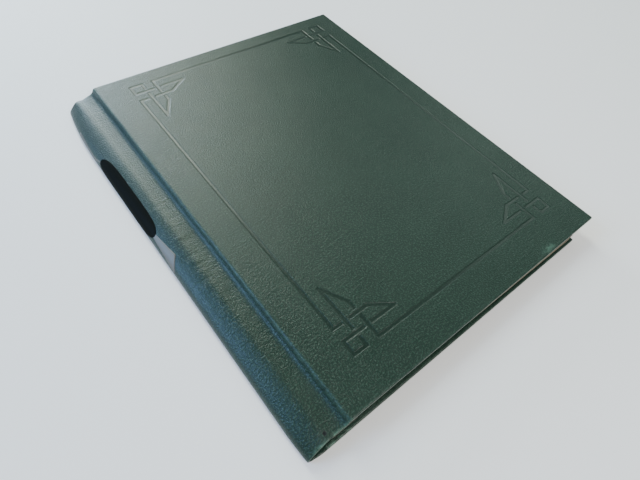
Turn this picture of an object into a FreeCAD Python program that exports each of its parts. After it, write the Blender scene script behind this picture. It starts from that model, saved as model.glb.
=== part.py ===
"""Loose-leaf stamp album, lying closed on its back cover.

Lengths are in millimetres. X runs from the spine to the fore-edge, Y from the tail to the head and
Z up from the table. Album coordinates start at the tail corner of the front board's hinge edge; every
sub-part is then moved so that the frame's origin is the middle of the space the album stands on.
"""
import FreeCAD, Part
import math
import os
import Sketcher
from FreeCAD import Placement, Rotation, Vector

# Driving dimensions: alias, value.
DIMENSIONS = [
    ("board_width", 222.0),      # a cover board, hinge edge to fore-edge
    ("board_height", 299.0),     # a cover board, tail to head
    ("board_thick", 2.4),
    ("cloth_thick", 0.4),        # leathercloth
    ("lining_thick", 0.4),       # linen inside the joints, card inside the spine
    ("album_thick", 15.6),       # table to the top of the front cover
    ("skew_side", 15.0),         # the back cover lies this far towards the spine
    ("skew_tail", 1.8),          # and this far towards the tail
    ("spine_reach", 26.0),       # spine's outermost line, from the front board's hinge edge
    ("turn_in", 15.0),           # cloth folded over onto a board's inner face
    ("paste_margin", 4.0),       # from a board's edge to its endpaper
    ("paste_thick", 0.25),
    ("edge_round", 0.8),         # softened board corners
    ("spine_radius", 7.5),       # outside of the rounded spine
    ("spine_axis_height", 2.9),  # its centre above the table
    ("spine_low_angle", 188.0),  # where the rounded spine starts, at the foot
    ("spine_high_angle", 114.0), # and where it ends, at the ridge
    ("spine_inset", 2.0),        # spine and joint cloth are a little short at head and tail
    ("joint_radius", 46.0),      # hollow of the front joint
    ("joint_axis_out", 20.2),    # its centre, outward of the front board's hinge edge
    ("joint_axis_height", 56.2),
    ("joint_low_angle", 270.75),
    ("joint_high_angle", 291.6),
    ("foot_end", 23.4),          # where the back joint's cloth stops, outward of the front board
    ("plate_thick", 0.8),        # binding plate
    ("plate_width", 22.0),
    ("plate_left", 12.0),        # plate's outer edge, outward of the front board's hinge edge
    ("plate_length", 277.0),
    ("plate_round", 3.0),
    ("bar_thick", 1.2),          # binding bar on top of the guards
    ("bar_width", 12.0),
    ("countersink", 0.96),       # seat of a screw's head in the bar
    ("guard_thick", 0.35),
    ("guard_width", 16.0),
    ("bind_left", 11.0),         # outer edge of guards and bar
    ("post_line", 5.0),          # centre line of the posts, outward of the front board
    ("post_radius", 2.5),
    ("post_bore", 1.5),
    ("post_pitch", 105.0),
    ("screw_radius", 1.4),
    ("screw_head", 3.6),
    ("screw_length", 4.0),
    ("rivet_line", 7.5),         # centre line of the rivets, inward of the front board's hinge edge
    ("rivet_radius", 1.6),
    ("rivet_head", 2.4),
    ("rivet_head_thick", 0.5),
    ("rivet_pitch", 80.0),
    ("leaf_thick", 0.3),
    ("leaf_pitch", 0.62),
    ("leaf_top", 11.7),          # upper face of the top leaf
    ("leaf_start", 11.0),        # leaf's inner edge
    ("leaf_end", 203.0),         # leaf's fore-edge
    ("leaf_height", 291.0),
    ("leaf_corner", 3.0),
    ("hinge_tape_thick", 0.1),
    ("hinge_tape_width", 9.0),
    ("hinge_tape_on_leaf", 7.0), # how much of the linen lies on the leaf
    ("label_thick", 0.15),
    ("label_length", 146.0),
    ("label_centre", 197.6),     # from the front board's tail edge
    ("label_point", 16.0),       # length of the label's pointed ends
    ("label_rise", 2.3),         # its middle above the spine's centre
    ("label_half_width", 3.1),
    ("panel_thick", 0.25),
    ("panel_length", 76.0),
    ("panel_centre", 193.0),
    ("panel_rise", 2.7),
    ("panel_half_width", 2.5),
]
LEAF_NAMES = ["title_leaf"] + ["album_leaf_%02d" % number for number in range(1, 11)] + ["end_leaf"]
GUARD_COUNT = len(LEAF_NAMES)
POST_COUNT = 3
RIVET_COUNT = 4

doc = FreeCAD.newDocument("stamp_album")
sheet = doc.addObject("Spreadsheet::Sheet", "Dimensions")
for row, (alias, value) in enumerate(DIMENSIONS, start=1):
    sheet.set("A%d" % row, alias)
    sheet.set("B%d" % row, str(value))
    sheet.setAlias("B%d" % row, alias)
doc.recompute()

size = dict(DIMENSIONS)
sub_parts = []

# Expressions that place album coordinates in the frame.
FRAME_X = ("-(Dimensions.board_width + Dimensions.cloth_thick - Dimensions.spine_reach"
           " - Dimensions.label_thick - Dimensions.panel_thick) / 2")
FRAME_Y = "-(Dimensions.board_height - Dimensions.skew_tail) / 2"


def cell(text):
    """Turn 'board_width - skew_side' into an expression on the sheet's cells."""
    words = text.replace("(", " ( ").replace(")", " ) ").split()
    return " ".join("Dimensions." + word if word in size else word for word in words)


def bind(item, **properties):
    """Bind properties, named with __ for a dot, to expressions on the sheet."""
    for name, text in properties.items():
        item.setExpression(name.replace("__", "."), cell(text))


def place(item, x="0", y="0", z="0"):
    """Bind an object's position, given in album coordinates."""
    item.setExpression("Placement.Base.x", FRAME_X + " + " + cell(x))
    item.setExpression("Placement.Base.y", FRAME_Y + " + " + cell(y))
    item.setExpression("Placement.Base.z", cell(z))


def keep(item, label):
    """Register a finished sub-part under the name of its file."""
    item.Label = label
    sub_parts.append(item)
    return item


def box(name, corner, extent):
    """A block from its low corner and its size, both as expressions in album coordinates."""
    block = doc.addObject("Part::Box", name)
    bind(block, Length=extent[0], Width=extent[1], Height=extent[2])
    place(block, *corner)
    return block


def cylinder(name, radius, height, x, y, z):
    rod = doc.addObject("Part::Cylinder", name)
    bind(rod, Radius=radius, Height=height)
    place(rod, x, y, z)
    return rod


def cut(name, base, *tools):
    """Cut one tool, or several joined, from a base."""
    result = doc.addObject("Part::Cut", name)
    result.Base = base
    result.Tool = tools[0] if len(tools) == 1 else fuse(name + "_tools", *tools)
    return result


def fuse(name, *shapes):
    result = doc.addObject("Part::MultiFuse", name)
    result.Shapes = list(shapes)
    result.Refine = True
    return result


def origin_plane(body, role):
    return next(item for item in body.Origin.OriginFeatures if item.Role == role)


def new_body(name, label):
    """A PartDesign body whose sketches are drawn in album coordinates."""
    body = doc.addObject("PartDesign::Body", name)
    place(body)
    return keep(body, label)


def new_sketch(body, name, role, offset="0"):
    """A sketch on one of the body's own planes, lifted along its normal."""
    sketch = body.newObject("Sketcher::SketchObject", name)
    sketch.AttachmentSupport = [(origin_plane(body, role), "")]
    sketch.MapMode = "FlatFace"
    sketch.setExpression("AttachmentOffset.Base.z", cell(offset))
    return sketch


def fix_point(sketch, curve, end, x, y):
    """Hold one end of a curve at a place given by two expressions."""
    for kind, text in (("DistanceX", x), ("DistanceY", y)):
        index = sketch.addConstraint(Sketcher.Constraint(kind, -1, 1, curve, end, 1.0))
        sketch.setExpression("Constraints[%d]" % index, cell(text))


def value_of(text):
    """The number that an expression on the sheet stands for."""
    return sheet.evalExpression(cell(text).replace("Dimensions.", ""))


def draw_rectangle(sketch, x_low, y_low, x_high, y_high):
    corners = [(x_low, y_low), (x_high, y_low), (x_high, y_high), (x_low, y_high)]
    points = [Vector(value_of(x), value_of(y), 0) for x, y in corners]
    first = sketch.GeometryCount
    for index in range(4):
        sketch.addGeometry(Part.LineSegment(points[index], points[(index + 1) % 4]), False)
    for index in range(4):
        sketch.addConstraint(
            Sketcher.Constraint("Coincident", first + index, 2, first + (index + 1) % 4, 1))
    for side, kind in enumerate(("Horizontal", "Vertical", "Horizontal", "Vertical")):
        sketch.addConstraint(Sketcher.Constraint(kind, first + side))
    fix_point(sketch, first, 1, x_low, y_low)
    fix_point(sketch, first + 2, 1, x_high, y_high)


def draw_circle(sketch, x, y, radius):
    centre = Vector(value_of(x), value_of(y), 0)
    curve = sketch.addGeometry(Part.Circle(centre, Vector(0, 0, 1), value_of(radius)), False)
    index = sketch.addConstraint(Sketcher.Constraint("Radius", curve, value_of(radius)))
    sketch.setExpression("Constraints[%d]" % index, cell(radius))
    fix_point(sketch, curve, 3, x, y)


def pad(body, sketch, name, length):
    feature = body.newObject("PartDesign::Pad", name)
    feature.Profile = sketch
    bind(feature, Length=length)
    return feature


def pocket_through(body, sketch, name):
    feature = body.newObject("PartDesign::Pocket", name)
    feature.Profile = sketch
    feature.Type = 1
    feature.Midplane = True
    return feature


def repeat_along_y(body, feature, name, pitch, count):
    """Repeat a feature towards the head, as many times in all as count says."""
    pattern = body.newObject("PartDesign::LinearPattern", name)
    pattern.Originals = [feature]
    pattern.Direction = (origin_plane(body, "Y_Axis"), [""])
    pattern.Occurrences = count
    bind(pattern, Length="%s * %d" % (pitch, count - 1))
    body.Tip = pattern


def round_upright_edges(body, base, name, radius):
    """Round the edges that stand along Z."""
    doc.recompute()
    upright = []
    for index, edge in enumerate(base.Shape.Edges, start=1):
        if isinstance(edge.Curve, Part.Line) and abs(edge.tangentAt(edge.FirstParameter).z) > 0.99:
            upright.append("Edge%d" % index)
    fillet = body.newObject("PartDesign::Fillet", name)
    fillet.Base = (base, upright)
    bind(fillet, Radius=radius)
    body.Tip = fillet


def arc_strip(name, label, centre_x, centre_z, outer, thick, low_angle, high_angle):
    """A curved strip along Y, cut from a tube between two angles counted from +X towards +Z."""
    length = "board_height - 2 * spine_inset"
    rings = []
    for suffix, radius in (("outer", outer), ("inner", "%s - (%s)" % (outer, thick))):
        ring = doc.addObject("Part::Cylinder", "%s_%s" % (name, suffix))
        bind(ring, Radius=radius, Height=length, Angle="%s - (%s)" % (high_angle, low_angle))
        # The cylinder's axis is laid along Y, then the sector is turned to start at high_angle.
        start = math.radians(value_of(high_angle))
        x_axis = Vector(math.cos(start), 0, math.sin(start))
        z_axis = Vector(0, 1, 0)
        ring.Placement = Placement(Vector(), Rotation(x_axis, z_axis.cross(x_axis), z_axis, "ZXY"))
        place(ring, centre_x, "spine_inset - skew_tail / 2", centre_z)
        rings.append(ring)
    return keep(cut(name, *rings), label)


# ---------------------------------------------------------------- cover boards and their coverings

FRONT = {"x": "0", "y": "0", "z": "album_thick - cloth_thick - board_thick"}
BACK = {"x": "-(skew_side)", "y": "-(skew_tail)", "z": "cloth_thick"}


def make_board(side, at, with_rivet_holes):
    """A greyboard with softened corners; the back one is drilled for the plate's rivets."""
    body = new_body(side + "_board_body", side + "_board")
    outline = new_sketch(body, side + "_board_outline", "XY_Plane", at["z"])
    draw_rectangle(outline, at["x"], at["y"], at["x"] + " + board_width", at["y"] + " + board_height")
    slab = pad(body, outline, side + "_board_slab", "board_thick")
    round_upright_edges(body, slab, side + "_board_corners", "edge_round")
    if with_rivet_holes:
        drill_for_rivets(body, side + "_board", at["z"])


def rivet_start():
    """Y of the first rivet: the row is centred on the back board."""
    return "board_height / 2 - skew_tail - rivet_pitch * %g" % ((RIVET_COUNT - 1) / 2)


def post_start():
    return "board_height / 2 - skew_tail - post_pitch * %g" % ((POST_COUNT - 1) / 2)


def drill_for_rivets(body, name, level):
    ring = new_sketch(body, name + "_rivet_hole", "XY_Plane", level)
    draw_circle(ring, "rivet_line", rivet_start(), "rivet_radius")
    hole = pocket_through(body, ring, name + "_rivet_pocket")
    repeat_along_y(body, hole, name + "_rivet_row", "rivet_pitch", RIVET_COUNT)


def make_cloth(side, at):
    """Leathercloth: outside, edges and turn-ins of a board, open over the middle of its inner face."""
    outer = box(side + "_cloth_outer",
                (at["x"] + " - cloth_thick", at["y"] + " - cloth_thick", at["z"] + " - cloth_thick"),
                ("board_width + 2 * cloth_thick", "board_height + 2 * cloth_thick",
                 "board_thick + 2 * cloth_thick"))
    core = box(side + "_cloth_core", (at["x"], at["y"], at["z"]),
               ("board_width", "board_height", "board_thick"))
    inner_face = " - cloth_thick" if side == "front" else " + board_thick"
    window = box(side + "_cloth_window",
                 (at["x"] + " + turn_in", at["y"] + " + turn_in", at["z"] + inner_face),
                 ("board_width - 2 * turn_in", "board_height - 2 * turn_in", "cloth_thick"))
    return cut(side + "_cloth_wrap", outer, core, window)


def make_endpaper(side, at):
    """Pasted-down endpaper: it fills the window in the turn-ins and laps over them."""
    if side == "front":
        low, filler = " - cloth_thick - paste_thick", " - cloth_thick"
    else:
        low, filler = " + board_thick + cloth_thick", " + board_thick"
    sheet_part = box(side + "_endpaper_sheet",
                     (at["x"] + " + paste_margin", at["y"] + " + paste_margin", at["z"] + low),
                     ("board_width - 2 * paste_margin", "board_height - 2 * paste_margin",
                      "paste_thick"))
    middle = box(side + "_endpaper_middle",
                 (at["x"] + " + turn_in", at["y"] + " + turn_in", at["z"] + filler),
                 ("board_width - 2 * turn_in", "board_height - 2 * turn_in", "cloth_thick"))
    return fuse(side + "_endpaper_whole", sheet_part, middle)


def rivet_rods(name, low, height):
    """Upright rods at the rivets' places, to cut holes with."""
    rods = []
    for number in range(RIVET_COUNT):
        y = rivet_start() + " + rivet_pitch * %d" % number
        rods.append(cylinder("%s_%d" % (name, number), "rivet_radius", height, "rivet_line", y, low))
    return rods


make_board("front", FRONT, with_rivet_holes=False)
make_board("back", BACK, with_rivet_holes=True)

keep(make_cloth("front", FRONT), "front_cloth")
keep(make_endpaper("front", FRONT), "front_endpaper")

# The back cloth goes on past its board as the joint that lies on the table under the spine.
back_joint = box("back_joint_strip", ("-(foot_end)", "-(skew_tail) - cloth_thick", "0"),
                 ("foot_end - skew_side", "board_height + 2 * cloth_thick", "cloth_thick"))
back_wrap = fuse("back_cloth_whole", make_cloth("back", BACK), back_joint)
keep(cut("back_cloth_drilled", back_wrap, *rivet_rods("back_cloth_rod", "cloth_thick", "album_thick")),
     "back_cloth")
keep(cut("back_endpaper_drilled", make_endpaper("back", BACK),
         *rivet_rods("back_endpaper_rod", "0", "album_thick")), "back_endpaper")

keep(box("back_joint_linen", ("-(foot_end)", "spine_inset - skew_tail", "cloth_thick"),
         ("foot_end - skew_side - cloth_thick", "board_height - 2 * spine_inset", "lining_thick")),
     "back_joint_lining")

# ---------------------------------------------------------------- spine and front joint

SPINE_X = "spine_radius - spine_reach"
JOINT_X = "-(joint_axis_out)"
SPINE_ANGLES = ("spine_high_angle", "spine_low_angle")
JOINT_ANGLES = ("joint_low_angle", "joint_high_angle")

arc_strip("spine_cloth_strip", "spine_cloth", SPINE_X, "spine_axis_height",
          "spine_radius", "cloth_thick", *SPINE_ANGLES)
arc_strip("spine_inlay_strip", "spine_inlay", SPINE_X, "spine_axis_height",
          "spine_radius - cloth_thick", "lining_thick", *SPINE_ANGLES)
arc_strip("joint_cloth_strip", "front_joint_cloth", JOINT_X, "joint_axis_height",
          "joint_radius + cloth_thick", "cloth_thick", *JOINT_ANGLES)
arc_strip("joint_lining_strip", "front_joint_lining", JOINT_X, "joint_axis_height",
          "joint_radius + cloth_thick + lining_thick", "lining_thick", *JOINT_ANGLES)


def spine_ornament(name, label, gap, kind):
    """A thin plate that follows the rounded spine, its outline a flat lozenge or a long oval."""
    inner = size["spine_radius"] + gap
    thick = size[kind + "_thick"]
    centre_y = size[kind + "_centre"]
    half = size[kind + "_length"] / 2
    axis = Vector(size["spine_radius"] - size["spine_reach"], 0, size["spine_axis_height"])
    tube = Part.makeCylinder(inner + thick, 2 * half, Vector(axis.x, centre_y - half, axis.z),
                             Vector(0, 1, 0))
    bore = Part.makeCylinder(inner, 2 * half, Vector(axis.x, centre_y - half, axis.z), Vector(0, 1, 0))
    # The outline is drawn in the YZ plane and pushed through the outer half of the tube.
    middle = axis.z + size[kind + "_rise"]
    rise = size[kind + "_half_width"]
    point = size["label_point"] if kind == "label" else 0
    ends = [Vector(0, centre_y - half, middle), Vector(0, centre_y + half, middle)]
    upper = [Vector(0, centre_y - half + point, middle + rise),
             Vector(0, centre_y + half - point, middle + rise)]
    lower = [Vector(0, corner.y, middle - rise) for corner in upper]
    if kind == "panel":
        sides = [Part.Arc(ends[0], (upper[0] + upper[1]) * 0.5, ends[1]),
                 Part.Arc(ends[1], (lower[0] + lower[1]) * 0.5, ends[0])]
        outline = Part.Wire([side.toShape() for side in sides])
    else:
        loop = [ends[0], upper[0], upper[1], ends[1], lower[1], lower[0], ends[0]]
        outline = Part.makePolygon(loop)
    reach = size["spine_radius"] + 1
    mask = Part.Face(outline).extrude(Vector(-reach, 0, 0))
    mask.translate(Vector(axis.x, 0, 0))
    plate = doc.addObject("Part::Feature", name)
    plate.Shape = tube.cut(bore).common(mask).Solids[0]
    place(plate)
    return keep(plate, label)


spine_ornament("label_foil", "spine_label_foil", 0.0, "label")
spine_ornament("label_panel", "spine_label_panel", size["label_thick"], "panel")

# ---------------------------------------------------------------- binding

PLATE_LOW = "2 * cloth_thick + board_thick + paste_thick"
GUARD_LOW = PLATE_LOW + " + plate_thick"
BAR_LOW = GUARD_LOW + " + guard_thick * %d" % GUARD_COUNT
BAR_TOP = BAR_LOW + " + bar_thick"
PLATE_TAIL = "board_height / 2 - skew_tail - plate_length / 2"


def drill_for_posts(body, name, level, radius):
    ring = new_sketch(body, name + "_post_hole", "XY_Plane", level)
    draw_circle(ring, "-(post_line)", post_start(), radius)
    hole = pocket_through(body, ring, name + "_post_pocket")
    repeat_along_y(body, hole, name + "_post_row", "post_pitch", POST_COUNT)


def make_binding_strip(name, left, width, thick, level, with_rivet_holes):
    """A flat steel strip with rounded corners, drilled for the posts."""
    body = new_body(name + "_body", name)
    outline = new_sketch(body, name + "_outline", "XY_Plane", level)
    draw_rectangle(outline, "-(%s)" % left, PLATE_TAIL, "%s - %s" % (width, left),
                   PLATE_TAIL + " + plate_length")
    strip = pad(body, outline, name + "_strip", thick)
    round_upright_edges(body, strip, name + "_corners", "plate_round")
    drill_for_posts(body, name, level, "post_radius")
    if with_rivet_holes:
        drill_for_rivets(body, name, level)
    return body


make_binding_strip("binding_plate", "plate_left", "plate_width", "plate_thick", PLATE_LOW, True)
bar = make_binding_strip("binding_bar", "bind_left", "bar_width", "bar_thick", BAR_LOW, False)
doc.recompute()

# The bar's holes are countersunk from the top for the screws' heads.
sink_outline = new_sketch(bar, "bar_sink_outline", "XY_Plane", BAR_TOP)
draw_circle(sink_outline, "-(post_line)", post_start(), "screw_head")
sink = bar.newObject("PartDesign::Pocket", "bar_sink")
sink.Profile = sink_outline
bind(sink, Length="countersink")
repeat_along_y(bar, sink, "bar_sink_row", "post_pitch", POST_COUNT)


def turned_group(name, label, profile, x, first_y, pitch, count):
    """Identical turned pieces in a row: profile holds (radius, height) corners as expressions."""
    solids = []
    corners = [Vector(value_of(radius), 0, value_of(height)) for radius, height in profile]
    face = Part.Face(Part.makePolygon(corners + corners[:1]))
    turned = face.revolve(Vector(), Vector(0, 0, 1), 360)
    for number in range(count):
        copy = turned.copy()
        copy.translate(Vector(value_of(x), value_of(first_y) + value_of(pitch) * number, 0))
        solids.append(copy)
    group = doc.addObject("Part::Feature", name)
    group.Shape = Part.makeCompound(solids)
    place(group)
    return keep(group, label)


POST_TOP = BAR_TOP + " - bar_thick"
HEAD_LOW = BAR_TOP + " - countersink"
turned_group("post_group", "binding_posts",
             [("post_bore", PLATE_LOW), ("post_radius", PLATE_LOW), ("post_radius", POST_TOP),
              ("post_bore", POST_TOP)],
             "-(post_line)", post_start(), "post_pitch", POST_COUNT)
turned_group("screw_group", "post_screws",
             [("0", BAR_TOP + " - screw_length"), ("screw_radius", BAR_TOP + " - screw_length"),
              ("screw_radius", HEAD_LOW), ("screw_head", HEAD_LOW), ("screw_head", BAR_TOP),
              ("0", BAR_TOP)],
             "-(post_line)", post_start(), "post_pitch", POST_COUNT)
turned_group("rivet_group", "plate_rivets",
             [("0", "cloth_thick"), ("rivet_radius", "cloth_thick"), ("rivet_radius", GUARD_LOW),
              ("rivet_head", GUARD_LOW), ("rivet_head", GUARD_LOW + " + rivet_head_thick"),
              ("0", GUARD_LOW + " + rivet_head_thick")],
             "rivet_line", rivet_start(), "rivet_pitch", RIVET_COUNT)

# Guards: one punched card strip per leaf, stacked on the plate between the posts' feet and the bar.
guard_solids = []
for number in range(GUARD_COUNT):
    level = value_of(GUARD_LOW) + number * size["guard_thick"]
    strip = Part.makeBox(size["guard_width"], size["leaf_height"], size["guard_thick"],
                         Vector(-size["bind_left"], 0, level))
    for post in range(POST_COUNT):
        post_y = value_of(post_start()) + post * size["post_pitch"]
        hole = Part.makeCylinder(size["post_radius"], size["guard_thick"],
                                 Vector(-size["post_line"], post_y, level))
        strip = strip.cut(hole)
    guard_solids.append(strip)
guards = doc.addObject("Part::Feature", "guard_group")
guards.Shape = Part.makeCompound(guard_solids)
place(guards)
keep(guards, "leaf_guards")

# ---------------------------------------------------------------- leaves with their linen hinges

for number, leaf_name in enumerate(LEAF_NAMES):
    underside = "leaf_top - leaf_thick - leaf_pitch * %d" % number
    body = new_body(leaf_name + "_body", leaf_name)
    outline = new_sketch(body, leaf_name + "_outline", "XY_Plane", underside)
    draw_rectangle(outline, "leaf_start", "0", "leaf_end", "leaf_height")
    page = pad(body, outline, leaf_name + "_page", "leaf_thick")
    round_upright_edges(body, page, leaf_name + "_corners", "leaf_corner")
    tape = box("linen_hinge_%02d_box" % (number + 1),
               ("leaf_start + hinge_tape_on_leaf - hinge_tape_width", "leaf_corner",
                underside + " + leaf_thick"),
               ("hinge_tape_width", "leaf_height - 2 * leaf_corner", "hinge_tape_thick"))
    keep(tape, "linen_hinge_%02d" % (number + 1))

# ---------------------------------------------------------------- check and write

doc.recompute()
for item in doc.Objects:
    if "Invalid" in item.State or "Error" in item.State:
        raise RuntimeError("failed object: %s %s" % (item.Name, item.State))
for item in sub_parts:
    if item.Shape.isNull() or not item.Shape.isValid():
        raise RuntimeError("bad shape: " + item.Label)

os.makedirs("parts", exist_ok=True)
for item in sub_parts:
    item.Shape.exportStep("parts/%s.step" % item.Label)
    bounds = item.Shape.BoundBox
    print("%-22s solids %2d  volume %9.1f  x %7.2f %7.2f  y %7.2f %7.2f  z %6.2f %6.2f" % (
        item.Label, len(item.Shape.Solids), item.Shape.Volume, bounds.XMin, bounds.XMax,
        bounds.YMin, bounds.YMax, bounds.ZMin, bounds.ZMax))
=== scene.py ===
"""Looks of the loose-leaf stamp album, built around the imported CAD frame.

Lengths in this file are millimetres in album coordinates unless a name says otherwise: X runs from
the front board's hinge edge to the fore-edge, Y from the front board's tail edge to the head, and Z
up from the table. to_frame() turns them into the frame's metres.
"""

import math

import bpy
import bmesh
import numpy as np
from mathutils import Matrix, Vector


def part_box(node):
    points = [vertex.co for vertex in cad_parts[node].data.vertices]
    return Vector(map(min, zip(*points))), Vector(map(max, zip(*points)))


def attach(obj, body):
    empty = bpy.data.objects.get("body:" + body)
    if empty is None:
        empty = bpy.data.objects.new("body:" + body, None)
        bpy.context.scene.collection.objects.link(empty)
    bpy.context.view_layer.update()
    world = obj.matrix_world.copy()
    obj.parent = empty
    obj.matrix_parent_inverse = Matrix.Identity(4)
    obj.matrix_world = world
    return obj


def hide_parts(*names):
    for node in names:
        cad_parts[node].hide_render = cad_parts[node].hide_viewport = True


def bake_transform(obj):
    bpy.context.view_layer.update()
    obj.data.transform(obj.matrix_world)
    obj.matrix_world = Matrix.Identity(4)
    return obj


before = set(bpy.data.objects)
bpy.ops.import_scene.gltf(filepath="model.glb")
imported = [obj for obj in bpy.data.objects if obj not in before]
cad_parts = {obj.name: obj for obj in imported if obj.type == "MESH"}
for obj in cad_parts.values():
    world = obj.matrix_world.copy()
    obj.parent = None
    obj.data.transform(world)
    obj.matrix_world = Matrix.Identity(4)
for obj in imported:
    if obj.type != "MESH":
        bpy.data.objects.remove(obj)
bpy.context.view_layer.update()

MM = 0.001
CLOTH = 0.4            # leathercloth, as the CAD covering
SHELL = 0.36           # its drawn thickness, a little less, so that it clears the board
TURN_IN = 15.0         # width of the covering's rim on the inner face of a board
STRIP_THICK = 0.85     # cloth and lining together, where there is no board

front_low, front_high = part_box("front_cloth")
board_low, board_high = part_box("front_board")
back_board_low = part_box("back_board")[0]

ORIGIN = Vector((board_low.x, board_low.y, 0.0))
BOARD_W = (board_high.x - board_low.x) / MM
BOARD_H = (board_high.y - board_low.y) / MM
TOP = front_high.z / MM                       # top of the front cover
COVER = (front_high.z - front_low.z) / MM     # thickness of a covered board
# How far the front board is shifted from the back board.
SKEW_X = (board_low.x - back_board_low.x) / MM
SKEW_Y = (board_low.y - back_board_low.y) / MM


def to_frame(points):
    """Album millimetres to frame metres, for an array of points."""
    return np.asarray(points, float) * MM + np.array(ORIGIN)


def new_object(name, points, faces, smooth=True):
    """A mesh object from album points."""
    mesh = bpy.data.meshes.new(name)
    mesh.from_pydata(to_frame(points).tolist(), [], faces)
    mesh.update()
    piece = bpy.data.objects.new(name, mesh)
    bpy.context.scene.collection.objects.link(piece)
    if smooth:
        mesh.polygons.foreach_set("use_smooth", [True] * len(mesh.polygons))
    return piece


# ------------------------------------------------------------------------------------ camera

SENSOR, LENS, CLIP_START = 36.0, 25.42, 0.01
CAMERA_PLACE = Vector((-0.29368 * BOARD_W, -0.0915 * BOARD_W, 1.0179 * BOARD_W + TOP))
CAMERA_WAY = Vector((0.42458, 0.40392, -0.81029)).normalized()
CAMERA_ROLL = math.radians(9.706)


def make_camera():
    """A wide lens close above the tail end of the spine."""
    data = bpy.data.cameras.new("camera")
    data.sensor_width = SENSOR
    data.lens = LENS
    data.clip_start = CLIP_START
    camera = bpy.data.objects.new("camera", data)
    bpy.context.scene.collection.objects.link(camera)
    turn = CAMERA_WAY.to_track_quat("-Z", "Y").to_matrix() @ Matrix.Rotation(CAMERA_ROLL, 3, "Z")
    camera.matrix_world = Matrix.Translation(to_frame(CAMERA_PLACE)) @ turn.to_4x4()
    bpy.context.scene.camera = camera


make_camera()

# ------------------------------------------------------------------------------------ cover section

# Outside of the covering in the XZ plane, from the back board's hinge edge, under the spine, round
# its fold, over the ridge and the hollow of the front joint, up to the front board.
SECTION = [(-15.0, 0.0), (-16.6, 0.42), (-19.0, 0.5), (-22.5, 0.25), (-25.6, 0.06), (-27.2, 0.8),
           (-27.9, 2.4), (-27.5, 4.1), (-26.4, 5.7), (-24.8, 7.1), (-23.0, 8.2), (-21.0, 9.1),
           (-19.0, 9.9), (-17.0, 10.55), (-15.0, 11.0), (-13.2, 11.1), (-11.4, 10.98), (-9.4, 10.95),
           (-7.4, 11.05), (-5.6, 11.25), (-4.2, 11.65), (-3.1, 12.35), (-2.4, 13.3), (-1.8, 14.4),
           (-1.0, 15.3), (0.2, 15.6)]
SEAM_SPINE = (-26.6, 5.4)      # where the back and spine coverings meet
SEAM_JOINT = (-11.4, 10.98)    # where the spine and front coverings meet
SECTION_STEP = 0.45


def smooth_path(points, step):
    """Points along a Catmull-Rom curve through the given points, about step apart."""
    points = np.array(points, float)
    padded = np.vstack([2 * points[0] - points[1], points, 2 * points[-1] - points[-2]])
    fine = []
    for index in range(len(points) - 1):
        p0, p1, p2, p3 = padded[index:index + 4]
        for t in np.linspace(0, 1, 24, endpoint=False):
            fine.append(0.5 * ((2 * p1) + (p2 - p0) * t + (2 * p0 - 5 * p1 + 4 * p2 - p3) * t ** 2
                               + (3 * p1 - p0 - 3 * p2 + p3) * t ** 3))
    fine = np.array(fine + [points[-1]])
    length = np.concatenate([[0], np.cumsum(np.linalg.norm(np.diff(fine, axis=0), axis=1))])
    wanted = np.linspace(0, length[-1], int(round(length[-1] / step)) + 1)
    return np.column_stack([np.interp(wanted, length, fine[:, axis]) for axis in (0, 1)]), wanted


path, path_length = smooth_path(SECTION, SECTION_STEP)
tangent = np.gradient(path, axis=0)
tangent /= np.linalg.norm(tangent, axis=1)[:, None]
path_inward = np.column_stack([tangent[:, 1], -tangent[:, 0]])   # to the inside of the fold


def nearest(point):
    """Index of the place on the section nearest to an (x, z) point."""
    return int(np.argmin(np.linalg.norm(path - np.array(point), axis=1)))


seam_spine, seam_joint = nearest(SEAM_SPINE), nearest(SEAM_JOINT)


def smoothstep(low, high, value):
    """0 at low, 1 at high and smooth between them; low may be the larger."""
    t = np.clip((np.asarray(value, float) - low) / (high - low), 0, 1)
    return t * t * (3 - 2 * t)


# ------------------------------------------------------------------------------------ soft noise

def waves(x, y, seed, scale, count=7):
    """Smooth noise between about -1 and 1: a sum of a few sine waves in mixed directions."""
    chance = np.random.default_rng(seed)
    total = np.zeros(np.broadcast(x, y).shape)
    for _ in range(count):
        angle, phase = chance.uniform(0, 2 * math.pi, 2)
        pace = 2 * math.pi / (scale * chance.uniform(0.6, 1.7))
        total = total + np.sin((x * math.cos(angle) + y * math.sin(angle)) * pace + phase)
    return total / math.sqrt(count)


# ------------------------------------------------------------------------------------ embossed frame

# The blind-pressed border: a plain line round the board that knots at each corner.
LINE_WIDTH = 2.7
LINE_DEPTH = 0.14
LINE_EDGE = 0.45        # width of a pressed line's sloping side
BRIDGE = 0.9            # raised strip left beside the line that passes over
PITCH = 8.9             # between the parallel lines of a knot
FRAME_HINGE = 22.0      # line centres from the board's edges
FRAME_FORE = 18.6
FRAME_TAIL = 24.0
FRAME_HEAD = 13.8
KNOT_REACH = 5.0        # the knots' size, in pitches

# One knot as a path in pitches from its corner of the frame, and which stretches pass under which.
KNOT = [(0, 5.2), (0, 2), (2.85, 2), (4.35, 1), (0, 1), (0, 0), (1, 0), (1, 4.7), (2, 2.9), (2, 0),
        (5.2, 0)]
KNOT_UNDER = {1: 6, 8: 1, 3: 8, 6: 3}


def band(x, y, start, end, half):
    """1 on a straight band between two points, 0 away from it, with sloping sides."""
    start, end = np.array(start, float), np.array(end, float)
    length = np.linalg.norm(end - start)
    way = (end - start) / length
    along = (x - start[0]) * way[0] + (y - start[1]) * way[1]
    across = np.abs((x - start[0]) * way[1] - (y - start[1]) * way[0])
    outside = np.maximum(across, np.abs(along - length / 2) - length / 2)
    return 1 - smoothstep(half - LINE_EDGE, half, outside)


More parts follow.
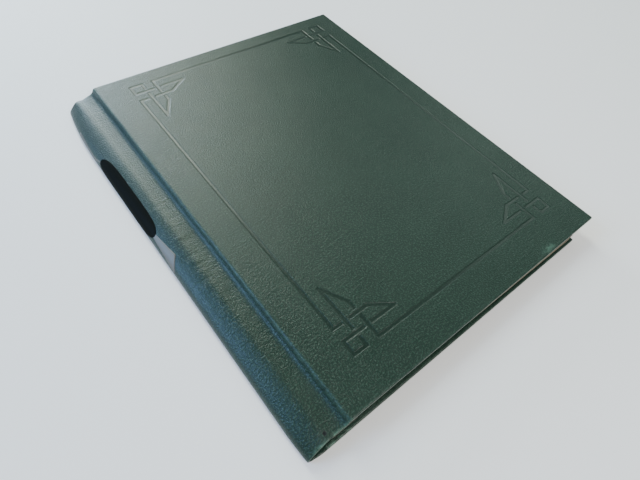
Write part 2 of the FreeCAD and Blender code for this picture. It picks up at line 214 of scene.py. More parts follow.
def knot(x, y):
    """How deeply one knot is pressed, 0 to 1; x and y are millimetres from its corner."""
    half = LINE_WIDTH / 2
    points = [(a * PITCH, b * PITCH) for a, b in KNOT]
    pressed = np.zeros(np.broadcast(x, y).shape)
    for index in range(len(points) - 1):
        line = band(x, y, points[index], points[index + 1], half)
        if index in KNOT_UNDER:
            over = KNOT_UNDER[index]
            wide = band(x, y, points[over], points[over + 1], half + BRIDGE)
            line = line * (1 - wide * (1 - band(x, y, points[over], points[over + 1], half)))
        pressed = np.maximum(pressed, line)
    return pressed


def border(x, y):
    """How deeply the frame on the front board is pressed at a point, 0 to 1."""
    left, right = FRAME_HINGE, BOARD_W - FRAME_FORE
    tail, head = FRAME_TAIL, BOARD_H - FRAME_HEAD
    reach = KNOT_REACH * PITCH
    half = LINE_WIDTH / 2
    pressed = np.zeros(np.broadcast(x, y).shape)
    for side in (left, right):
        pressed = np.maximum(pressed, band(x, y, (side, tail + reach), (side, head - reach), half))
    for side in (tail, head):
        pressed = np.maximum(pressed, band(x, y, (left + reach, side), (right - reach, side), half))
    for corner_x, way_x in ((left, 1), (right, -1)):
        for corner_y, way_y in ((tail, 1), (head, -1)):
            pressed = np.maximum(pressed, knot((x - corner_x) * way_x, (y - corner_y) * way_y))
    return pressed


# ------------------------------------------------------------------------------------ coverings

EDGE_ROUND = 0.95       # radius of the turned edges
FINE = 0.36             # step where the frame is pressed
COLUMN_STEP, ROW_STEP = 1.6, 1.0      # steps elsewhere on a board
FRAME_MARGIN = 2.0      # how far outside the frame the fine steps begin
HEAD_PINCH, HEAD_PINCH_LENGTH = 4.8, 60.0     # how far the spine draws in at its ends
TAIL_PINCH, TAIL_PINCH_LENGTH = 0.8, 20.0
END_BULGE = 0.55        # share by which the turned ends of the joints and spine are thicker
END_BULGE_LENGTH = 4.0
HEAD_SAG, TAIL_SAG = 0.4, 0.7         # how far the spine's top sinks at its ends
HOLLOW_X, HOLLOW_SPREAD = -12.0, 3.5  # an extra dip in the joint at the head
HOLLOW_SAG, HOLLOW_LENGTH = 0.9, 14.0
SPINE_SHORT = 0.8       # how much shorter the spine is than the boards, at each end


def steps(stops):
    """Positions through a list of (position, step up to the next position)."""
    found = []
    for (start, step), (end, _) in zip(stops, stops[1:]):
        count = max(1, int(round((end - start) / step)))
        found += list(np.linspace(start, end, count, endpoint=False))
    return np.array(found + [stops[-1][0]])


EDGE_PLACES = (0.4, 1.2, 2.4)     # distances from an edge at which the steps grow
EDGE_STEPS = (0.1, 0.2, 0.4)      # the step up to each of them


def edge_stops(length, low_fine, high_fine, coarse):
    """Steps across a board: dense at both edges and where the pressed frame runs."""
    near = list(zip((0,) + EDGE_PLACES, EDGE_STEPS + (coarse,)))
    middle = [(low_fine[0], FINE), (low_fine[1], coarse), (length - high_fine[1], FINE),
              (length - high_fine[0], coarse)]
    far = [(length - place, step) for place, step in zip(EDGE_PLACES[::-1], EDGE_STEPS[::-1])]
    return near + middle + far + [(length, EDGE_STEPS[0])]


knot_span = KNOT_REACH * PITCH
rows = steps(edge_stops(BOARD_H, (FRAME_TAIL - FRAME_MARGIN, FRAME_TAIL + knot_span),
                        (FRAME_HEAD - FRAME_MARGIN, FRAME_HEAD + knot_span), ROW_STEP))
rows = np.unique(np.concatenate([rows, [TURN_IN, BOARD_H - TURN_IN]]))
fore_edge = BOARD_W + CLOTH
columns = steps(edge_stops(fore_edge, (FRAME_HINGE - FRAME_MARGIN, FRAME_HINGE + knot_span),
                           (FRAME_FORE - FRAME_MARGIN, FRAME_FORE + knot_span), COLUMN_STEP))
columns = np.unique(np.concatenate([columns[columns > 0.6], [fore_edge - TURN_IN]]))
back_columns = steps([(0.5, 0.5), (2.0, 2.0), (fore_edge - 2, 0.2), (fore_edge, 1)])
back_columns = np.unique(np.concatenate([back_columns, [fore_edge - TURN_IN]]))


def path_sides(first, last):
    """Outer and inner points of the covering along part of the section, both as (x, z)."""
    outer = path[first:last + 1]
    inner = outer + path_inward[first:last + 1] * STRIP_THICK
    return outer, inner


def skew_at(length_share):
    """Tail end of the covering: 0 at the front board, the skew at the back board."""
    return -SKEW_Y * (1 - smoothstep(0.0, 1.0, length_share))


def spine_inset(share):
    """The spine is a touch shorter than the boards."""
    return SPINE_SHORT * smoothstep(0.05, 0.3, share) * (1 - smoothstep(0.6, 0.95, share))


def ends_at(share):
    """Tail and head ends of the cloth, where share is the place along the section."""
    low = skew_at(share) - CLOTH + spine_inset(share)
    return low, low + BOARD_H + 2 * (CLOTH - spine_inset(share))


def covering(name, outer, inner, shares, open_ends, run_start):
    """A turned-in covering: outer face, rounded sides and a rim of the inner face, as an open skin.

    outer and inner hold one (x, z) point per column, shares where each column is along the section
    (0 at the back board, 1 at the front). open_ends says whether the last column ends at a seam.
    Each vertex also keeps its place on the unrolled cloth, in metres, for the grain; run_start is
    where its first column lies there, in millimetres.
    """
    outer, inner, shares = np.array(outer), np.array(inner), np.array(shares)
    thick = np.linalg.norm(inner - outer, axis=1)
    spread = np.array([0, 0.07, 0.16, 0.3, 0.5, 0.7, 0.84, 0.93, 1.0])
    column_count = len(outer)

    def place(column, row, depth_share):
        """Rounded points for arrays of column index, row position and share of the thickness."""
        low, high = ends_at(shares[column])
        y = low + row / BOARD_H * (high - low)
        from_end = np.minimum(y - low, high - y)
        bulge = END_BULGE * np.exp(-(from_end / END_BULGE_LENGTH) ** 2) * (thick[column] < 1.0)
        grow = 1 + bulge
        t = thick[column] * grow
        depth = depth_share * t
        radius = np.minimum(EDGE_ROUND, t * 0.49)
        y_in = np.clip(y, low + radius, high - radius)
        depth_in = np.clip(depth, radius, t - radius)
        across = np.zeros_like(y)
        across_in = np.zeros_like(y)
        if not open_ends:
            across = np.abs(outer[column, 0] - outer[-1, 0])
            across_in = np.maximum(across, radius)
        gap = np.stack([across - across_in, y - y_in, depth - depth_in])
        size = np.maximum(np.linalg.norm(gap, axis=0), 1e-9)
        scale = np.where(size > 1e-6, radius / size, 0)
        across_new = across_in + gap[0] * scale
        y_new = y_in + gap[1] * scale
        depth_new = (depth_in + gap[2] * scale) / t
        base = outer[column] + (inner[column] - outer[column]) * (depth_new * grow)[:, None]
        x = base[:, 0] + across - across_new
        unrolled.append(np.column_stack([run[column], y_new, depth_new * t]))
        return draw_in(np.column_stack([x, y_new, base[:, 1]]), low, high)

    run = np.concatenate([[0], np.cumsum(np.linalg.norm(np.diff(outer, axis=0), axis=1))]) + run_start
    points, faces, unrolled = [], [], []

    def grid(column, row, depth_share, flip, keep=None):
        """Add a grid of vertices given by 2D index arrays."""
        base = sum(len(p) for p in points)
        shape = column.shape
        points.append(place(column.ravel(), row.ravel(), depth_share.ravel()))
        index = np.arange(column.size).reshape(shape) + base
        quads = np.stack([index[:-1, :-1], index[1:, :-1], index[1:, 1:], index[:-1, 1:]], -1)
        if keep is not None:
            quads = quads[keep]
        quads = quads.reshape(-1, 4)
        faces.append(quads[:, ::-1] if flip else quads)

    column_grid, row_grid = np.meshgrid(np.arange(column_count), rows, indexing="ij")
    whole = np.zeros(column_grid.shape)
    grid(column_grid, row_grid, whole, False)
    inside_row = (rows[:-1] >= TURN_IN - 1e-6) & (rows[1:] <= BOARD_H - TURN_IN + 1e-6)
    away = np.abs(outer[:, 0] - outer[-1, 0])
    inside_column = np.ones(column_count - 1, bool)
    if not open_ends:
        inside_column = away[1:] >= TURN_IN - 1e-6
    window = inside_column[:, None] & inside_row[None, :]
    grid(column_grid, row_grid, whole + 1, True, ~window)
    column_side, spread_side = np.meshgrid(np.arange(column_count), spread, indexing="ij")
    grid(column_side, np.zeros(column_side.shape), spread_side, True)
    grid(column_side, np.full(column_side.shape, BOARD_H), spread_side, False)
    if not open_ends:
        row_side, spread_side = np.meshgrid(rows, spread, indexing="ij")
        grid(np.full(row_side.shape, column_count - 1), row_side, spread_side, True)
    piece = new_object(name, np.vstack(points), np.vstack(faces).tolist())
    store = piece.data.attributes.new("unrolled", "FLOAT_VECTOR", "POINT")
    store.data.foreach_set("vector", (np.vstack(unrolled) * MM).astype(np.float32).ravel())
    weld(piece)
    return piece


def weld(piece):
    """Join doubled vertices and turn every face outward."""
    tidy = bmesh.new()
    tidy.from_mesh(piece.data)
    bmesh.ops.remove_doubles(tidy, verts=tidy.verts, dist=1e-6)
    bmesh.ops.recalc_face_normals(tidy, faces=tidy.faces)
    for edge in tidy.edges:
        edge.smooth = not edge.is_boundary
    tidy.to_mesh(piece.data)
    tidy.free()


def draw_in(points, low, high):
    """Draw the spine's fold in and let its top sink at head and tail, where its ends are empty."""
    x, y, z = points.T
    outward = smoothstep(-14.0, -27.0, x)
    head = np.clip(1 - (high - y) / HEAD_PINCH_LENGTH, 0, 1) ** 2.2
    tail = np.clip(1 - (y - low) / TAIL_PINCH_LENGTH, 0, 1) ** 2
    x = x + outward * (HEAD_PINCH * head + TAIL_PINCH * tail)
    sag = smoothstep(3.0, 9.0, z) * smoothstep(-3.0, -12.0, x) * (z < 12.5)
    hollow = np.exp(-((x - HOLLOW_X) / HOLLOW_SPREAD) ** 2)
    hollow = hollow * np.clip(1 - (high - y) / HOLLOW_LENGTH, 0, 1) ** 2
    z = z - sag * (HEAD_SAG * head + TAIL_SAG * tail + HOLLOW_SAG * hollow)
    return np.column_stack([x, y, z])


def add_numbers(piece, name, values):
    """Store one number per vertex for a material to read."""
    store = piece.data.attributes.new(name, "FLOAT", "POINT")
    store.data.foreach_set("value", np.asarray(values, np.float32))


def album_points(piece):
    flat = np.zeros(len(piece.data.vertices) * 3)
    piece.data.vertices.foreach_get("co", flat)
    return (flat.reshape(-1, 3) - np.array(ORIGIN)) / MM


def set_points(piece, points):
    piece.data.vertices.foreach_set("co", to_frame(points).ravel())
    piece.data.update()


def normals(piece):
    flat = np.zeros(len(piece.data.vertices) * 3)
    piece.data.vertex_normals.foreach_get("vector", flat)
    return flat.reshape(-1, 3)


shares = path_length / path_length[-1]      # 0 at the back board, 1 at the front board
BACK_GRAIN_START = 400.0      # the back covering's place on the unrolled cloth, clear of the others


# The columns of each covering are (x, z) points on the outside, each with one on the inside.
def front_covering():
    outer, inner = path_sides(seam_joint, len(path) - 1)
    boarded = smoothstep(-2.6, 0.2, outer[:, 0])[:, None]
    under = np.column_stack([outer[:, 0], np.full(len(outer), TOP - COVER)])
    inner = inner * (1 - boarded) + under * boarded
    outer = np.vstack([outer, np.column_stack([columns, np.full(len(columns), TOP)])])
    inner = np.vstack([inner, np.column_stack([columns, np.full(len(columns), TOP - COVER)])])
    share = np.concatenate([shares[seam_joint:], np.ones(len(columns))])
    return covering("front_leathercloth", outer, inner, share, False, path_length[seam_joint])


def back_covering():
    outer, inner = path_sides(0, seam_spine)
    outer, inner = outer[::-1], inner[::-1]
    boarded = smoothstep(-17.5, -15.2, outer[:, 0])[:, None] * (outer[:, 1:] < 2)
    under = np.column_stack([outer[:, 0], np.full(len(outer), COVER)])
    inner = inner * (1 - boarded) + under * boarded
    board_x = back_columns - SKEW_X
    outer = np.vstack([outer, np.column_stack([board_x, np.zeros(len(board_x))])])
    inner = np.vstack([inner, np.column_stack([board_x, np.full(len(board_x), COVER)])])
    share = np.concatenate([shares[:seam_spine + 1][::-1], np.zeros(len(board_x))])
    return covering("back_leathercloth", outer, inner, share, False, BACK_GRAIN_START)


def spine_covering():
    outer, inner = path_sides(seam_spine, seam_joint)
    return covering("spine_leathercloth", outer, inner, shares[seam_spine:seam_joint + 1], True,
                    path_length[seam_spine])


front_cloth, back_cloth, spine_cloth = front_covering(), back_covering(), spine_covering()

UNEVEN, UNEVEN_LENGTH = 0.05, 55.0      # heights and lengths of the cloth's waves
CREASE, CREASE_LENGTH = 0.05, 4.5
ROLL, ROLL_LENGTH = 0.07, 34.0
CREASE_MID, CREASE_SPREAD = 118.0, 45.0      # where along the joint the creases are deepest
HOLE, HOLE_SIZE, HOLE_DEPTH = (-14.0, 3.7), (1.1, 1.0), 0.25      # a small puncture near the tail
SCUFF, SCUFF_SIZE = (172.5, 2.6), (5.0, 2.2)      # a rubbed patch at the tail edge
STEP_EDGE = -1.4              # the step down from the board into the joint, where a highlight is painted


def spot_distance(x, y, centre, size):
    """Squared distance from a centre, in units of a spot's half width each way."""
    return ((x - centre[0]) / size[0]) ** 2 + ((y - centre[1]) / size[1]) ** 2


def shape_surface(piece):
    """Press the border, and give the cloth its slight unevenness and its creases at the joint."""
    points = album_points(piece)
    x, y, z = points.T
    outward = normals(piece)
    on_top = (z > TOP - 0.02) & (x > 1.0)
    pressed = np.where(on_top, border(x, y), 0.0)
    uneven = UNEVEN * waves(x, y, 11, UNEVEN_LENGTH) * on_top * smoothstep(0, 12, x)
    in_joint = smoothstep(-25.0, -19.0, x) * (1 - smoothstep(-2.5, 0.5, x)) * (z > 5)
    crease_place = np.exp(-((y - CREASE_MID) / CREASE_SPREAD) ** 2) + 0.35
    creases = CREASE * waves(x * 0.25, y, 23, CREASE_LENGTH) * crease_place
    rolls = ROLL * waves(x * 0.3, y, 31, ROLL_LENGTH)
    hole = np.exp(-spot_distance(x, y, HOLE, HOLE_SIZE) ** 2) * (z > 6)
    height = (creases + rolls) * in_joint + uneven - LINE_DEPTH * pressed - HOLE_DEPTH * hole
    set_points(piece, points + outward * height[:, None])
    add_numbers(piece, "pressed", pressed)
    add_numbers(piece, "hole", hole)
    # Paler teal marks: real wear along the turned ends and the scuff, and a painted highlight along
    # the step down from the board into the joint.
    low = np.where(z > 6, 0.0, -SKEW_Y)
    from_end = np.minimum(np.abs(y - low), np.abs(y - low - BOARD_H))
    end_wear = np.exp(-(from_end / 1.0) ** 2)
    # Painted highlight along the edge of the step into the joint.
    step_highlight = np.exp(-((x - STEP_EDGE) / 1.1) ** 2) * (z > 13)
    flexing = smoothstep(-28.0, -24.0, x) * (1 - smoothstep(-1.5, 2.0, x)) * (z > 2.0)
    scuff = np.exp(-spot_distance(x, y, SCUFF, SCUFF_SIZE)) * (z > 13)
    wear_and_highlight = end_wear * (0.15 + 0.85 * flexing) + 0.35 * step_highlight + scuff
    add_numbers(piece, "wear_and_highlight", np.clip(wear_and_highlight, 0, 1))


def add_shell(piece):
    """Give an open skin its thickness, inward."""
    shell = piece.modifiers.new("thickness", "SOLIDIFY")
    shell.thickness = SHELL * MM
    shell.offset = -1.0


for cloth in (front_cloth, back_cloth, spine_cloth):
    shape_surface(cloth)
    add_shell(cloth)


# ------------------------------------------------------------------------------------ linings

def slab(name, outside, inside):
    """A closed thin piece between two matching grids of album points."""
    count_a, count_b = outside.shape[:2]
    front = np.arange(count_a * count_b).reshape(count_a, count_b)
    back = front + front.size
    faces = []
    for grid in (front, back[::-1]):
        quads = np.stack([grid[:-1, :-1], grid[1:, :-1], grid[1:, 1:], grid[:-1, 1:]], -1)
        faces.append(quads.reshape(-1, 4))
    ring_front = np.concatenate([front[:, 0], front[-1, 1:], front[-2::-1, -1], front[0, -2:0:-1]])
    ring_back = ring_front + front.size
    faces.append(np.column_stack([ring_front, np.roll(ring_front, -1), np.roll(ring_back, -1),
                                  ring_back]))
    points = np.vstack([outside.reshape(-1, 3), inside.reshape(-1, 3)])
    piece = new_object(name, points, np.vstack(faces).tolist())
    weld(piece)
    return piece


def beside_cloth(run, y, outward):
    """Album points beside the spine and joints: run along the section, outward from the cloth."""
    inward_x = np.interp(run, path_length, path_inward[:, 0])
    inward_z = np.interp(run, path_length, path_inward[:, 1])
    x = np.interp(run, path_length, path[:, 0]) - outward * inward_x
    z = np.interp(run, path_length, path[:, 1]) - outward * inward_z
    low, high = ends_at(np.asarray(run) / path_length[-1])
    return draw_in(np.column_stack([x, y, z]), low, high)


LINING_NEAR, LINING_FAR = 0.40, 0.80      # the lining's faces, inward from the outside of the cloth
LINING_EDGE = TURN_IN + 0.4               # how far it stays from the ends of the cloth
LINING_STEP = 0.6


def lining(name, run_low, run_high, extra_low=(), extra_high=()):
    """A strip inside the coverings; the extra points carry it on over a board, as (near, far)."""
    runs = np.arange(run_low, run_high, LINING_STEP)
    along = np.linspace(0, 1, 60)

    def heights(share):
        low, high = ends_at(share)
        return low + LINING_EDGE + along * (high - low - 2 * LINING_EDGE)

    grids = []
    for which, depth in ((0, LINING_NEAR), (1, LINING_FAR)):
        grid = [[(pair[which][0], y, pair[which][1]) for y in heights(0.0)] for pair in extra_low]
        for run in runs:
            y = heights(run / path_length[-1])
            grid.append(beside_cloth(np.full(len(y), run), y, -depth))
        grid += [[(pair[which][0], y, pair[which][1]) for y in heights(1.0)] for pair in extra_high]
        grids.append(np.array([np.array(line) for line in grid]))
    return slab(name, grids[0], grids[1])


run_spine, run_joint = path_length[seam_spine], path_length[seam_joint]
run_back_board = path_length[nearest((-17.2, 0.45))]
run_front_board = path_length[nearest((-3.4, 13.7))]
# Where the linings run on over the boards, as (x, z) points of their near and far faces.
over_back_board = [((-11.4, 2.88), (-11.4, 3.2)), ((-14.6, 2.88), (-14.6, 3.2)),
                   ((-15.1, 2.8), (-15.35, 3.1)), ((-15.3, 2.2), (-15.7, 2.3)),
                   ((-15.7, 1.2), (-16.1, 1.5))]
over_front_board = [((-1.6, 12.95), (-1.9, 12.6)), ((-0.3, 12.72), (-0.5, 12.4)),
                    ((3.7, 12.72), (3.7, 12.4))]
back_lining = lining("back_lining", run_back_board, run_spine, over_back_board)
spine_lining = lining("spine_lining", run_spine, run_joint)
front_lining = lining("front_lining", run_joint, run_front_board, (), over_front_board)


def bend_like(piece):
    """Bake a piece's placement into its mesh; it is given no bending."""
    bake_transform(piece)


for cloth, like in ((front_cloth, "front"), (spine_cloth, "spine"), (back_cloth, "back"),
                    (front_lining, "front"), (spine_lining, "spine"), (back_lining, "back")):
    bend_like(cloth)
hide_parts("front_cloth")
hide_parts("spine_cloth", "front_joint_cloth")
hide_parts("back_cloth")
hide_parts("front_joint_lining")
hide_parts("spine_inlay")
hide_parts("back_joint_lining")


# ------------------------------------------------------------------------------------ spine label

LABEL_MID = 199.0             # along the spine
LABEL_HALF = 71.5
PANEL_MID = 196.0
PANEL_HALF = 39.0
LABEL_RUN = 0.5 * (path_length[nearest((-27.7, 2.0))] + path_length[nearest((-20.4, 9.8))])
LABEL_REACH = 4.3             # half its width round the spine, at its flared ends
LABEL_DROP = 3.4              # how much lower round the spine its far end lies
LABEL_LEAN = 9.0              # how much shorter its upper edge is than its lower, at the near end
LABEL_WAIST = 0.3             # its width beside the panel, as a share of its flared ends
LABEL_FAR_SHARE = 0.35        # its width toward the head, as a share of that toward the tail
FOIL_LAYER = (-0.03, 0.09, 0.0)       # bottom, top and dome, outward from the cloth
PANEL_LAYER = (0.03, 0.12, 0.16)
PANEL_REACH = 5.6


def foil_reach(y):
    """Half width of the foil: under the panel just wider than it, then a waist and a flare."""
    beyond = (np.abs(y - PANEL_MID) - PANEL_HALF) / (LABEL_HALF - PANEL_HALF)
    flare = LABEL_REACH * (LABEL_WAIST + (1 - LABEL_WAIST) * np.clip(beyond, 0, 1))
    return np.where(y > PANEL_MID, LABEL_FAR_SHARE, 1.0) * flare


def foil_drop(y):
    """How far the foil lies below the middle line of the label."""
    return LABEL_DROP * smoothstep(PANEL_MID + PANEL_HALF - 6, PANEL_MID + PANEL_HALF + 8, y)


def foil_lean(y):
    """How far the foil's upper edge is drawn back toward the head."""
    panel_end = PANEL_MID - PANEL_HALF
    label_end = LABEL_MID - LABEL_HALF
    return LABEL_LEAN * np.clip((panel_end - y) / (panel_end - label_end), 0, 1)


def straight(_):
    """For a layer with no drop or lean."""
    return 0.0


def panel_reach(y):
    """Half width of the black panel, a long oval with blunt ends."""
    along = np.clip(np.abs(y - PANEL_MID) / PANEL_HALF, 0, 1)
    return PANEL_REACH * np.sqrt(np.clip(1 - along ** 5, 0.0005, 1))


def label_layer(name, y_values, reach, layer, drop=straight, lean=straight):
    """A layer of the label on the spine's surface, rising by its dome toward its middle."""
    low, high, dome = layer
    across = np.linspace(-1, 1, 15)
    outside, inside = [], []
    for y in y_values:
        runs = LABEL_RUN - drop(y) + across * reach(y)
        rise = high + dome * (1 - across ** 4) * min(1.0, reach(y) / PANEL_REACH)
        ys = y + lean(y) * (0.5 + 0.5 * across)
        outside.append([beside_cloth(run, np.array([at]), up)[0]
                        for run, at, up in zip(runs, ys, rise)])
        inside.append([beside_cloth(run, np.array([at]), low)[0] for run, at in zip(runs, ys)])
    return slab(name, np.array(outside), np.array(inside))


def end_dense(mid, half, count=60):
    """Positions along a shape, closer together toward its two ends."""
    return mid - half * np.cos(np.linspace(0, math.pi, count))


foil_y = np.linspace(LABEL_MID - LABEL_HALF, LABEL_MID + LABEL_HALF, 90)
panel_y = end_dense(PANEL_MID, PANEL_HALF)
foil = label_layer("label_foil", foil_y, foil_reach, FOIL_LAYER, foil_drop, foil_lean)
panel = label_layer("label_panel", panel_y, panel_reach, PANEL_LAYER)
for piece, node in ((foil, "spine_label_foil"), (panel, "spine_label_panel")):
    bend_like(piece)
    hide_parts(node)


# ------------------------------------------------------------------------------------ leaf hinges

LEAF_COUNT = 12
album_leaves = ["album_leaf_%02d" % (number + 1) for number in range(LEAF_COUNT - 2)]
leaf_bodies = ["title_leaf"] + album_leaves + ["end_leaf"]


def linen_hinge(number):
    """A strip of linen from the edge of a guard over the top of its leaf."""
    tape_low, tape_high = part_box("linen_hinge_%02d" % number)
    guard_low, guard_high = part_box("leaf_guards")
    guard_top, guard_bottom = guard_high.z / MM, guard_low.z / MM
    guard = guard_top - (number - 0.5) * (guard_top - guard_bottom) / LEAF_COUNT
    leaf_top = tape_low.z / MM
    thick = (tape_high.z - tape_low.z) / MM
    x_start = (guard_high.x - ORIGIN.x) / MM + 0.05
    x_leaf = (tape_low.x - ORIGIN.x) / MM + 1.9
    x_end = (tape_high.x - ORIGIN.x) / MM
    xs = np.concatenate([np.linspace(x_start, x_leaf, 14), np.linspace(x_leaf, x_end, 5)[1:]])
    rise = smoothstep(x_start, x_leaf, xs)
    z_low = guard + (leaf_top - guard) * rise
    ys = np.linspace((tape_low.y - ORIGIN.y) / MM, (tape_high.y - ORIGIN.y) / MM, 40)
    grids = []
    for lift in (thick, 0.0):
        grids.append(np.array([[(x, y, z + lift) for y in ys] for x, z in zip(xs, z_low)]))
    return slab("linen_%02d" % number, grids[0], grids[1])


LEAF_CORNER = 3.0
LEAF_SLANT = 0.0075           # the leaves hang askew: towards the tail, this much per mm outward
LEAF_SLIP = 0.95              # how far their inner ends lie towards the head
LEAF_UNEVEN = 0.10            # how unevenly their edges line up
LEAF_PHASE = 2.3              # from one leaf to the next, in radians


def rounded_outline(low, high, radius):
    """Corners of a rectangle with rounded corners, anticlockwise, as (x, y)."""
    centres = [(high[0] - radius, high[1] - radius), (low[0] + radius, high[1] - radius),
               (low[0] + radius, low[1] + radius), (high[0] - radius, low[1] + radius)]
    points = []
    for quarter, (x, y) in enumerate(centres):
        for turn in np.linspace(0, math.pi / 2, 7) + quarter * math.pi / 2:
            points.append((x + radius * math.cos(turn), y + radius * math.sin(turn)))
    return np.array(points)


def leaf_sheet(number, name):
    """A leaf of card, its outline a little askew in the stack."""
    low, high = [(corner - ORIGIN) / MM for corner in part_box(name)]
    outline = rounded_outline(low, high, LEAF_CORNER)
    unevenness = LEAF_UNEVEN * math.sin(LEAF_PHASE * number)
    outline[:, 1] += LEAF_SLIP - LEAF_SLANT * (outline[:, 0] - low.x) + unevenness
    count = len(outline)
    points = np.vstack([np.column_stack([outline, np.full(count, level)])
                        for level in (low.z, high.z)])
    around = np.arange(count)
    after = np.roll(around, -1)
    faces = [around[::-1].tolist(), (around + count).tolist()]
    faces += np.column_stack([around, after, after + count, around + count]).tolist()
    return new_object("sheet_%02d" % number, points, faces, smooth=False)


linen_strips, leaf_sheets = [], []
for number, leaf in enumerate(leaf_bodies, 1):
    strip = linen_hinge(number)
    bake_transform(strip)
    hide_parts("linen_hinge_%02d" % number)
    linen_strips.append(strip)
    sheet = leaf_sheet(number, leaf)
    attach(sheet, leaf)
    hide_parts(leaf)
    leaf_sheets.append(sheet)


# ------------------------------------------------------------------------------------ materials

class Shader:
    """A material with its node tree and short ways to add and wire nodes."""

    def __init__(self, name):
        self.material = bpy.data.materials.new(name)
        self.material.use_nodes = True
        self.tree = self.material.node_tree
        self.surface = self.tree.nodes["Principled BSDF"]

    def node(self, kind, **settings):
        made = self.tree.nodes.new("ShaderNode" + kind)
        for key, value in settings.items():
            setattr(made, key, value)
        return made

    def link(self, source, target):
        self.tree.links.new(source, target)

    def set(self, **values):
        """Constants on the surface's own sockets, spaces written as underscores."""
        for key, value in values.items():
            self.surface.inputs[key.replace("_", " ")].default_value = value

    def place(self):
        """Position on the object."""
        return self.node("TexCoord").outputs["Object"]

    def number(self, name):
        return self.node("Attribute", attribute_name=name).outputs["Fac"]

    def vector(self, name):
        return self.node("Attribute", attribute_name=name).outputs["Vector"]

    def stretch(self, vector, scale):
        mapping = self.node("Mapping")
        mapping.inputs["Scale"].default_value = scale
        self.link(vector, mapping.inputs["Vector"])
        return mapping.outputs["Vector"]

    def noise(self, vector, scale, detail=4.0, roughness=0.55, distortion=0.0):
        made = self.node("TexNoise")
        made.inputs["Scale"].default_value = scale
        made.inputs["Detail"].default_value = detail
        made.inputs["Roughness"].default_value = roughness
        made.inputs["Distortion"].default_value = distortion
        self.link(vector, made.inputs["Vector"])
        return made.outputs["Fac"]

    def math(self, operation, first, second=None, clamp=False):
        made = self.node("Math", operation=operation, use_clamp=clamp)
        for socket, value in zip(made.inputs, (first, second)):
            if value is None:
                continue
            if isinstance(value, (int, float)):
                socket.default_value = value
            else:
                self.link(value, socket)
        return made.outputs["Value"]

    def span(self, value, low, high, out_low=0.0, out_high=1.0):
        made = self.node("MapRange", clamp=True)
        for key, number in (("From Min", low), ("From Max", high), ("To Min", out_low),
                            ("To Max", out_high)):
            made.inputs[key].default_value = number
        self.link(value, made.inputs["Value"])
        return made.outputs["Result"]

    def mix(self, share, first, second):
        made = self.node("Mix", data_type="RGBA")
        for index, value in ((0, share), (6, first), (7, second)):
            if isinstance(value, (int, float)):
                made.inputs[index].default_value = value
            elif isinstance(value, tuple):
                made.inputs[index].default_value = (*value, 1.0)
            else:
                self.link(value, made.inputs[index])
        return made.outputs[2]

    def bump(self, height, distance, strength=1.0, normal=None):
        made = self.node("Bump")
        made.inputs["Strength"].default_value = strength
        made.inputs["Distance"].default_value = distance
        self.link(height, made.inputs["Height"])
        if normal is not None:
            self.link(normal, made.inputs["Normal"])
        return made.outputs["Normal"]


CLOTH_DARK, CLOTH_LIGHT = (0.003, 0.016, 0.009), (0.006, 0.022, 0.013)
CLOTH_GRAIN_HIGHLIGHT = (0.024, 0.057, 0.037)           # the tops of the pebbles, painted lighter as a painted highlight on the grain
CLOTH_PRESSED = (0.004, 0.013, 0.008)
# Paler teal: the colour of real wear and of the painted highlight on the step.
CLOTH_WORN_AND_HIGHLIT = (0.070, 0.150, 0.105)
CLOTH_HOLE = (0.001, 0.003, 0.002)


def leathercloth():
    """Dark green bookcloth with a fine pebble grain and painted highlights on its pebble tops, creased
    across, worn paler at its edges, with a painted highlight along the step into the joint.
    """
    s = Shader("leathercloth")
    where = s.vector("unrolled")
    pressed, wear_and_highlight, hole = s.number("pressed"), s.number("wear_and_highlight"), s.number("hole")
    pebble = s.noise(where, 1000.0, 2.0, 0.5)
    fine = s.noise(where, 2600.0, 2.0, 0.6)
    hatch = s.noise(s.stretch(where, (0.16, 1.0, 1.0)), 520.0, 3.0, 0.55, 0.3)
    blotch = s.noise(where, 26.0, 4.0, 0.55)
    base = s.mix(s.span(blotch, 0.3, 0.7), CLOTH_DARK, CLOTH_LIGHT)
    # Painted highlight: the pebble tops take the lighter grain colour.
    base = s.mix(s.span(pebble, 0.50, 0.66, 0.0, 0.8), base, CLOTH_GRAIN_HIGHLIGHT)
    base = s.mix(s.math("MULTIPLY", pressed, 0.6), base, CLOTH_PRESSED)
    # Wear and the scuff, together with the painted step highlight, turn the cloth paler teal.
    rubbed_and_highlit = s.math("MULTIPLY", wear_and_highlight, s.span(s.noise(where, 320.0, 4.0, 0.6), 0.38, 0.62), True)
    base = s.mix(s.math("MULTIPLY", rubbed_and_highlit, 0.75), base, CLOTH_WORN_AND_HIGHLIT)
    base = s.mix(s.span(hole, 0.1, 0.6), base, CLOTH_HOLE)
    s.link(base, s.surface.inputs["Base Color"])
    rough = s.span(s.noise(where, 60.0, 3.0), 0.3, 0.7, 0.31, 0.38)
    rough = s.math("SUBTRACT", rough, s.math("MULTIPLY", pressed, 0.02))
    rough = s.math("ADD", rough, s.math("MULTIPLY", hole, 0.6))
    s.link(rough, s.surface.inputs["Roughness"])
    grain = s.math("ADD", s.math("MULTIPLY", pebble, 0.8), s.math("MULTIPLY", fine, 0.3))
    flatten = s.span(pressed, 0.0, 1.0, 1.0, 0.4)
    grain = s.math("MULTIPLY", grain, flatten)
    first = s.bump(hatch, 0.00020, 0.7)
    s.link(s.bump(grain, 0.00036, 1.0, first), s.surface.inputs["Normal"])
    s.set(Specular_IOR_Level=0.42)
    return s.material


def paint(piece, material):
    piece.data.materials.clear()
    piece.data.materials.append(material)


leather = leathercloth()
for cloth in (front_cloth, back_cloth, spine_cloth):
    paint(cloth, leather)


